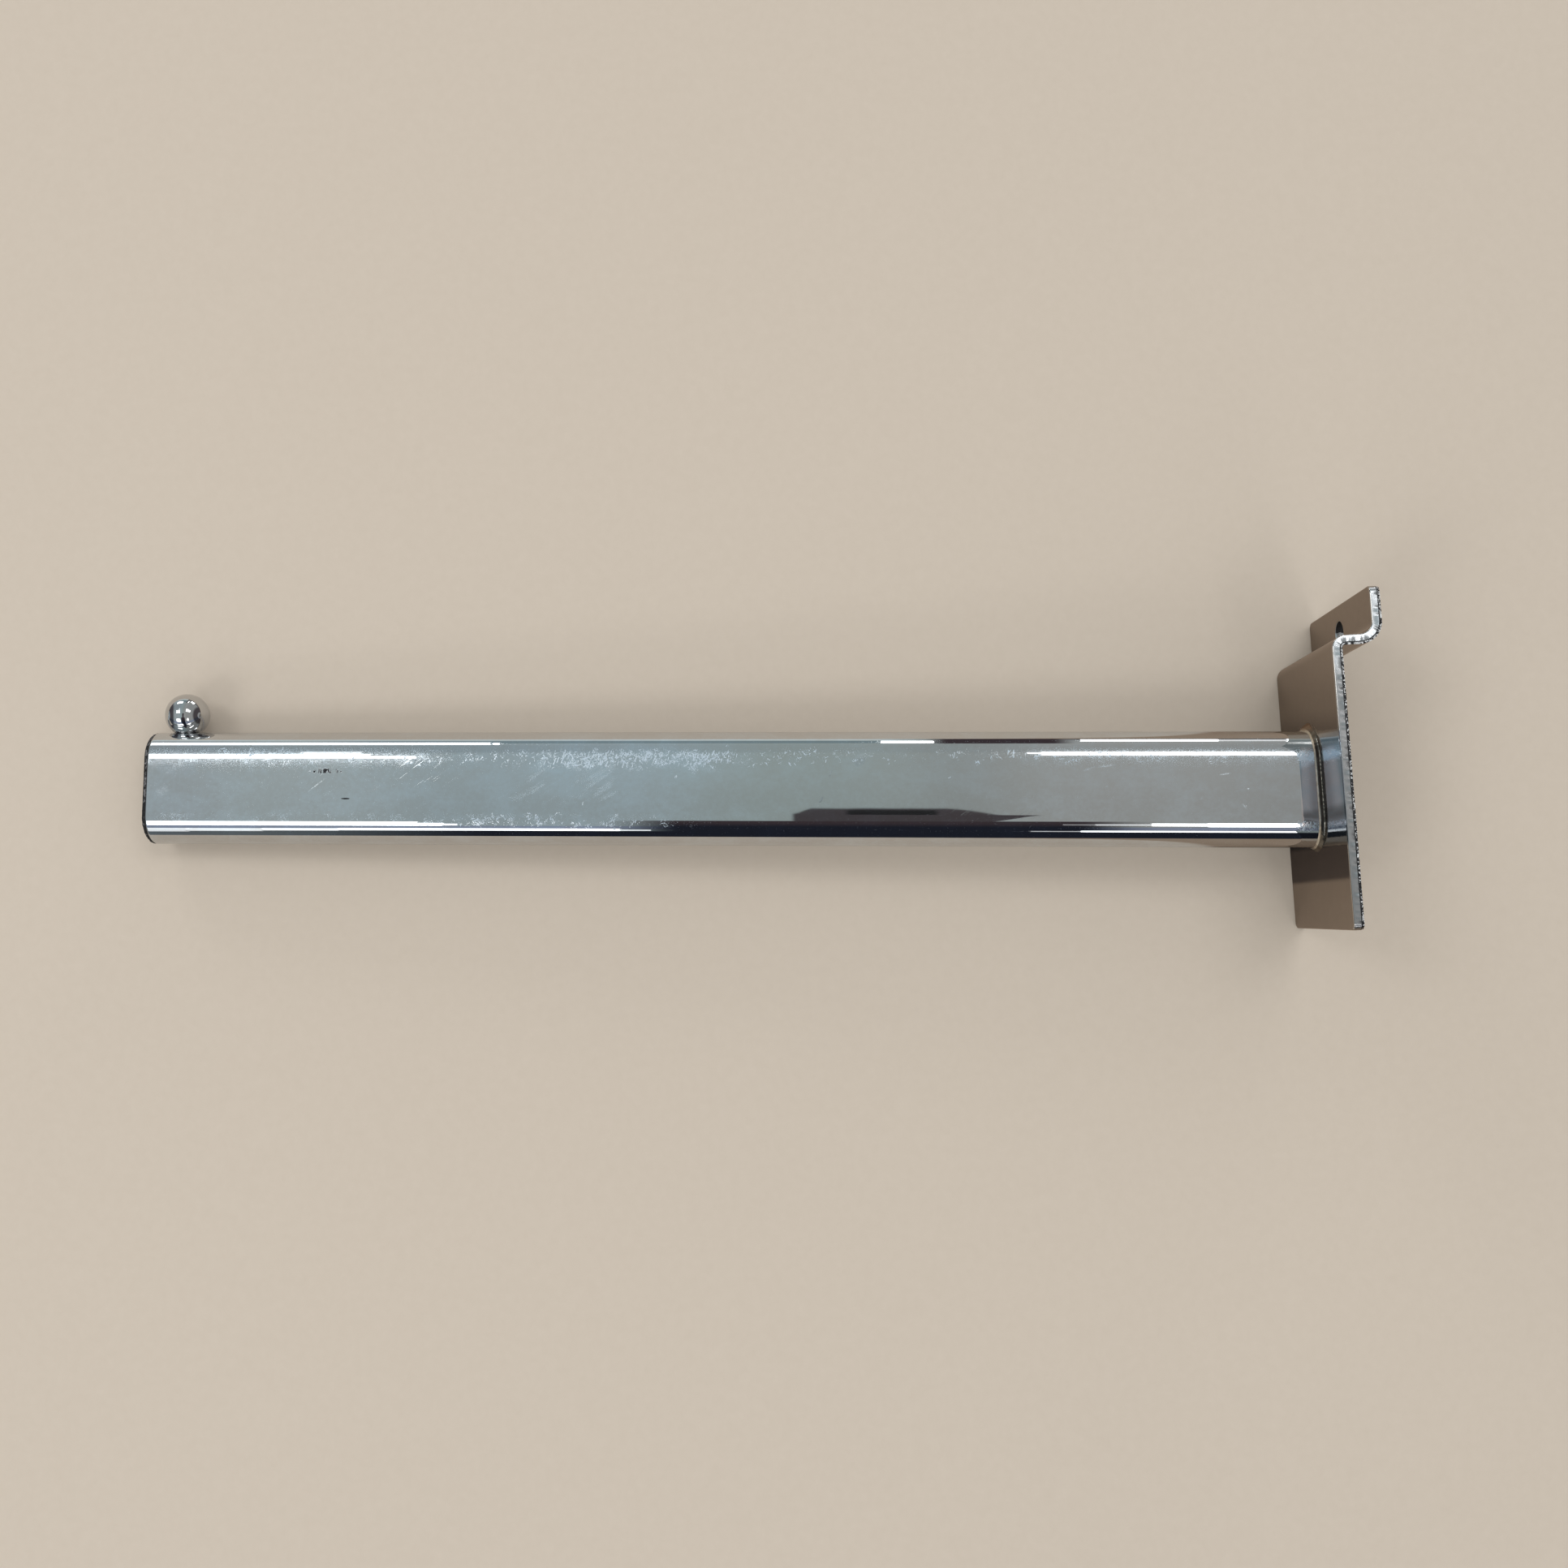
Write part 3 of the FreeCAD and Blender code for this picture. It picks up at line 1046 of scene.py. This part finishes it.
def make_plate():
    rows = blank_rows()
    rim = blank_rim(rows)
    centre = blank_length - hole_below_top
    inner = edge_roll + edge_support
    ring = hole_radius + hole_ease + edge_support
    angles = hole_rim(rows, centre, ring)
    mesh = SheetMesh(rim, angles, centre)

    turns = [PI / 2 * i / roll_steps for i in range(1, roll_steps)]
    front_rim = mesh.rim_loop(inner, 0.0, skin_zone)
    loops = [front_rim, mesh.rim_loop(edge_roll, 0.0, skin_zone)]
    loops += [mesh.rim_loop(edge_roll * (1 - math.sin(a)), edge_roll * (1 - math.cos(a)), skin_zone)
              for a in turns]
    loops.append(mesh.rim_loop(0.0, edge_roll, cut_zone))
    broken = sheet * broken_share
    loops.append(mesh.rim_loop(0.0, broken - satin_end, cut_zone))
    loops.append(mesh.rim_loop(0.0, broken, broken_zone, broken_first_rough))
    for i in range(1, broken_steps + 1):
        share = i / broken_steps
        depth = broken + (sheet - broken) * share * broken_end
        zone = broken_zone + broken_zone_rise * share
        loops.append(mesh.rim_loop(broken_inset * share, depth, zone, broken_rough))
    loops.append(mesh.rim_loop(broken_inset + back_bevel, sheet, skin_zone))
    back_rim = mesh.rim_loop(inner, sheet, skin_zone)
    loops.append(back_rim)
    for one, two in zip(loops, loops[1:]):
        mesh.join(one, two)

    front_hole = mesh.hole_loop(hole_ease + edge_support, 0.0, skin_zone)
    hole_loops = [
        front_hole,
        mesh.hole_loop(hole_ease, 0.0, skin_zone),
        mesh.hole_loop(ease_grow, ease_depth, cut_zone),
        mesh.hole_loop(0.0, bore_start, bore_zone),
        mesh.hole_loop(0.0, sheet - bore_end, bore_zone),
        mesh.hole_loop(bore_back_grow, sheet, skin_zone),
    ]
    back_hole = mesh.hole_loop(hole_ease + edge_support, sheet, skin_zone)
    hole_loops.append(back_hole)
    for one, two in zip(hole_loops, hole_loops[1:]):
        mesh.join(two, one)

    front_index = front_rim + front_hole
    back_index = back_rim + back_hole
    for corners in skin_triangles(rim, angles, rows, centre, inner, ring):
        mesh.faces.append(tuple(front_index[k] for k in corners))
        mesh.faces.append(tuple(back_index[k] for k in reversed(corners)))

    piece = make_piece(
        "wall_plate_folded", mesh.verts, mesh.faces, plate_chrome(), "wall_plate",
        plate_sharp_deg)
    set_attribute(piece, "edge_zone", mesh.zones)


# Stage: the pale board that the arm lies on
board_gap = 0.15
board_size = 4000.0
board_tint = colour(0.64, 0.57, 0.49)
board_fleck_tint = colour(0.6, 0.53, 0.45)
# Colours the chrome mirrors beside the plate: painted shade, and a painted shadow of the arm
board_foot_painted_shade_tint = colour(0.4, 0.31, 0.235)
board_shadow_tint = colour(0.15, 0.118, 0.1)
board_shadow_up = (-23.8, -10.5, 0.7)
board_shade_up = (0, 19, 5)
board_clear_up = (-12, 12, 1)


def make_board():
    """Board behind the arm, which the chrome mirrors with painted shade and a painted shadow beside the
    plate, and not behind the tube.
    """
    near_x, near_y = 0.0, plate_width / 2 + board_gap
    far_x, far_y = arm_end, tube_thickness / 2 + board_gap
    direction = Vector((far_x - near_x, far_y - near_y, 0)).normalized()
    middle = Vector((near_x, near_y, 0))
    corners = []
    half = board_size / 2
    for along, up in ((-1, -1), (1, -1), (1, 1), (-1, 1)):
        corners.append((middle + direction * along * half + Vector((0, 0, up * half))) * MM)
    mesh = bpy.data.meshes.new("board")
    mesh.from_pydata(corners, [], [(3, 2, 1, 0)])
    mesh.materials.append(board_paint())
    board = placed("board", mesh)


def board_paint():
    material, tree = new_material("board_paint")
    fibre = tree.noise(tree.node("TexCoord").outputs["Object"], 400, 4, 0.6)
    tint = tree.blend(fibre, board_tint, board_fleck_tint)
    along, _, up = tree.split(arm_place(tree))
    mirrored = tree.node("LightPath").outputs["Is Glossy Ray"]
    # Painted shade and a painted shadow of the arm, seen only in reflections beside the plate
    shadow = tree.most(
        tree.window(up, *board_shadow_up), tree.times(tree.window(up, *board_shade_up), 0.6))
    foot_painted_light = tree.blend(shadow, board_foot_painted_shade_tint, board_shadow_tint)
    tint = tree.blend(tree.times(mirrored, tree.step(along, -26, -20)), tint, foot_painted_light)
    matt = tree.node("BsdfDiffuse", Color=tint).outputs[0]
    clear = tree.node("BsdfTransparent").outputs[0]
    behind = tree.node("NewGeometry").outputs["Backfacing"]
    through = tree.times(mirrored, tree.window(up, *board_clear_up))
    mix = tree.node("MixShader")
    for socket, value in zip(mix.inputs, (tree.most(behind, through), matt, clear)):
        tree.feed(socket, value)
    tree.finish(mix.outputs[0])
    return material


# Lamps, all parallel to the arm
lamp_distance = 1500.0
lamp_level = 4.4

# Start and end along the arm (mm), low and high edge (degrees up), and its level where it has its own
lamps = (
    ("upper_left", -1300, -760, 6.2, 21.3),
    ("upper_left_rise", -850, -770, 21.3, 31, 1.5),
    ("upper_left_tip", -760, -700, 6.2, 13),
    ("upper_right_tip", 76, 95, 22, 26),
    ("upper_right", 95, 480, 15, 30),
    ("upper_far_right", 500, 760, 15, 27),
    ("high_left", -1300, -603, 61.5, 72.5),
    ("high_left_spot", -599, -591, 61.5, 71),
    ("high_middle", -106, -40, 68, 80),
    ("high_right", 142, 311, 76.5, 87),
    ("high_right_tail", 311, 395, 77, 86, 0.7),
    ("high_far_right", 395, 600, 75, 88),
    ("lower_left", -1300, -700, -41, -24.8),
    ("lower_left_tip", -700, -664, -41, -30),
    ("lower_left_point", -664, -645, -39, -33),
    ("lower_right_tip", 120, 160, -33, -29, 0.4),
    ("lower_right_dim", 160, 230, -33.5, -28.5, 1.0),
    ("lower_right", 230, 300, -35.5, -25),
    ("lower_far_right", 300, 480, -38.5, -23.5),
    ("low_far_left", -1300, -1000, -70, -54, 1.05),
    ("low_left_narrowing", -1000, -900, -67, -54, 1.15),
    ("low_left_dim", -900, -800, -64, -53, 1.5),
    ("low_left", -800, -436, -62, -52, 2.6),
    ("low_left_tip", -436, -396, -61, -56, 1.3),
    ("low_right_tip", 80, 142, -60.5, -57, 0.8),
    ("low_right", 142, 600, -61, -55.7),
)


def make_lamp(name, start, end, low_deg, high_deg, level=lamp_level):
    middle = math.radians((low_deg + high_deg) / 2)
    width = (end - start) * MM
    height = 2 * lamp_distance * math.tan(math.radians((high_deg - low_deg) / 2)) * MM
    data = bpy.data.lights.new(name, "AREA")
    data.shape = "RECTANGLE"
    data.size = width
    data.size_y = height
    data.energy = level * PI * width * height
    lamp = placed(name, data)
    across = (start + end) / 2
    place = (across, -lamp_distance * math.cos(middle), lamp_distance * math.sin(middle))
    lamp.location = raised(place) * MM
    lamp.rotation_euler = (PI / 2 - middle, arm_rise, 0)
    lamp.visible_camera = False


# Room: colours by direction, and what dull surfaces and the camera see of it
room_left_tint = colour(0.41, 0.48, 0.47)
room_right_tint = colour(0.455, 0.468, 0.454)
room_bands = (
    (-0.07, -0.17, colour(0.435, 0.52, 0.54)),
    (-0.28, -0.38, colour(0.49, 0.565, 0.575)),
    (-0.42, -0.48, colour(0.465, 0.525, 0.54)),
)
shade_tint = colour(0.2, 0.25, 0.29)
upper_shade_tint = colour(0.2, 0.28, 0.31)
pale_line_tint = colour(0.72, 0.79, 0.78)
blue_line_tint = colour(0.3, 0.35, 0.5)
dark_upper_tint = colour(0.06, 0.045, 0.051)
dark_lower_tint = colour(0.018, 0.021, 0.032)
core_tint = colour(0.026, 0.026, 0.027)
far_floor_tint = colour(0.3, 0.29, 0.28)
far_ceiling_tint = colour(0.64, 0.63, 0.61)
soft_light_tint = colour(0.6, 0.59, 0.57)
backdrop_tint = colour(0.6, 0.54, 0.46)

# Spans of the room's bands: low, high and softness, of the lift in degrees and of the slant
shade_lift = (26, 62, 8)
upper_shade_lift = (68, 80, 2)
upper_shade_slant = (-0.36, 0.03, 0.03)
pale_line_lift = (83, 97, 2)
pale_line_slant = (-0.7, 0.02, 0.03)
blue_line_lift = (-54, -41, 1)
low_middle_lift = (-80, -18, 1)
low_middle_slant = (-0.16, 0.165, 0.03)
low_edge_lift = (-95, -62, 1.5)
low_patch_slant = (-0.054, 0.11, 0.002)
core_lift = (3.68, 3.89, 0.02)
core_slant = (-0.018, 0.0426, 0.003)
high_edge_lift = (84, 97, 2)
high_middle_lift = (66, 97, 1.5)
high_middle_slant = (0.04, 0.128, 0.01)
left_side_slant = (-4, -1.2, 0.3)
right_side_slant = (1.2, 4, 0.3)
dip_slant = (0.03, 0.09, 0.03)


def room_colour(tree, lift, slant):
    """The room's pale colours, with its shades and lines."""
    room = tree.blend(tree.step(slant, -0.05, 0.16), room_left_tint, room_right_tint)
    for start, end, band_tint in room_bands:
        room = tree.blend(tree.step(slant, start, end), room, band_tint)
    left = tree.step(slant, 0, -0.45)
    shade = tree.times(tree.window(lift, *shade_lift), tree.level(left, 0.12, 0.4))
    room = tree.blend(shade, room, shade_tint)
    upper_shade = tree.times(tree.patch(lift, upper_shade_lift, slant, upper_shade_slant), 0.75)
    room = tree.blend(upper_shade, room, upper_shade_tint)
    room = tree.blend(tree.patch(lift, pale_line_lift, slant, pale_line_slant), room, pale_line_tint)
    blue_line = tree.times(tree.window(lift, *blue_line_lift), 0.75)
    return tree.blend(blue_line, room, blue_line_tint)


def room_darkness(tree, lift, slant):
    """How dark the room is by direction: dark bands, the patch low on the tube's flat and the sides."""
    low_middle = tree.patch(lift, low_middle_lift, slant, low_middle_slant)
    low_edge = tree.times(
        tree.window(lift, *low_edge_lift), tree.level(tree.step(slant, -0.45, -0.25), 0.7, 1.0))
    sag = tree.plus(
        tree.times(tree.step(slant, -0.04, -0.054), 0.2),
        tree.times(tree.step(slant, 0.045, 0.112), 0.40))
    climb = tree.times(tree.step(slant, 0.07, 0.112), 24.5)
    low_patch = tree.times(
        tree.step(tree.plus(lift, sag), 3.98, 3.92),
        tree.step(tree.less(lift, climb), -22.03, -21.97),
        tree.window(slant, *low_patch_slant), 0.93)
    high_edge = tree.times(tree.window(lift, *high_edge_lift), tree.step(slant, 0.03, 0.05), 0.65)
    high_middle = tree.patch(lift, high_middle_lift, slant, high_middle_slant)
    left_side = tree.times(tree.window(slant, *left_side_slant), 0.9)
    right_side = tree.times(tree.window(slant, *right_side_slant), 0.9)
    top = tree.times(tree.step(lift, 98, 110), 0.5)
    dips = tree.most(
        tree.times(tree.window(slant, *dip_slant), 0.1),
        tree.times(tree.step(slant, 0.21, 0.30), 0.12))
    return tree.most(
        low_middle, low_edge, low_patch, high_edge, high_middle, left_side, right_side, top, dips)


def make_world():
    """A grey room seen only in reflections, with the dark and light bands that the chrome shows."""
    world = bpy.data.worlds.new("studio")
    bpy.context.scene.world = world
    tree = Tree(world)
    direction = tree.node("TexCoord").outputs["Generated"]
    across = tree.dot(direction, (math.cos(arm_rise), 0, -math.sin(arm_rise)))
    away = tree.dot(direction, (0, -1, 0))
    up = tree.dot(direction, (math.sin(arm_rise), 0, math.cos(arm_rise)))
    lift = tree.times(tree.math("ARCTAN2", up, away), math.degrees(1.0))
    depth = tree.math("SQRT", tree.plus(tree.times(away, away), tree.times(up, up)))
    least_depth = 0.001
    slant = tree.math("DIVIDE", across, tree.most(depth, least_depth))

    room = room_colour(tree, lift, slant)
    dark_tint = tree.blend(tree.step(lift, -24, -44), dark_upper_tint, dark_lower_tint)
    room = tree.blend(room_darkness(tree, lift, slant), room, dark_tint)
    room = tree.blend(tree.patch(lift, core_lift, slant, core_slant), room, core_tint)
    far_side = tree.blend(tree.step(up, -0.5, 0.5), far_floor_tint, far_ceiling_tint)
    room = tree.blend(tree.step(away, -0.05, -0.35), room, far_side)
    path = tree.node("LightPath")
    tint = tree.blend(path.outputs["Is Diffuse Ray"], room, soft_light_tint)
    tint = tree.blend(path.outputs["Is Camera Ray"], tint, backdrop_tint)
    background = tree.node("Background", Color=tint, Strength=1.0)
    tree.finish(background.outputs[0], "OutputWorld")


make_camera()
make_tube()
make_plate()
make_bead()
make_ball()
make_cap()
make_board()
for lamp_row in lamps:
    make_lamp(*lamp_row)
make_world()

settings = bpy.context.scene.view_settings
settings.view_transform = "Standard"
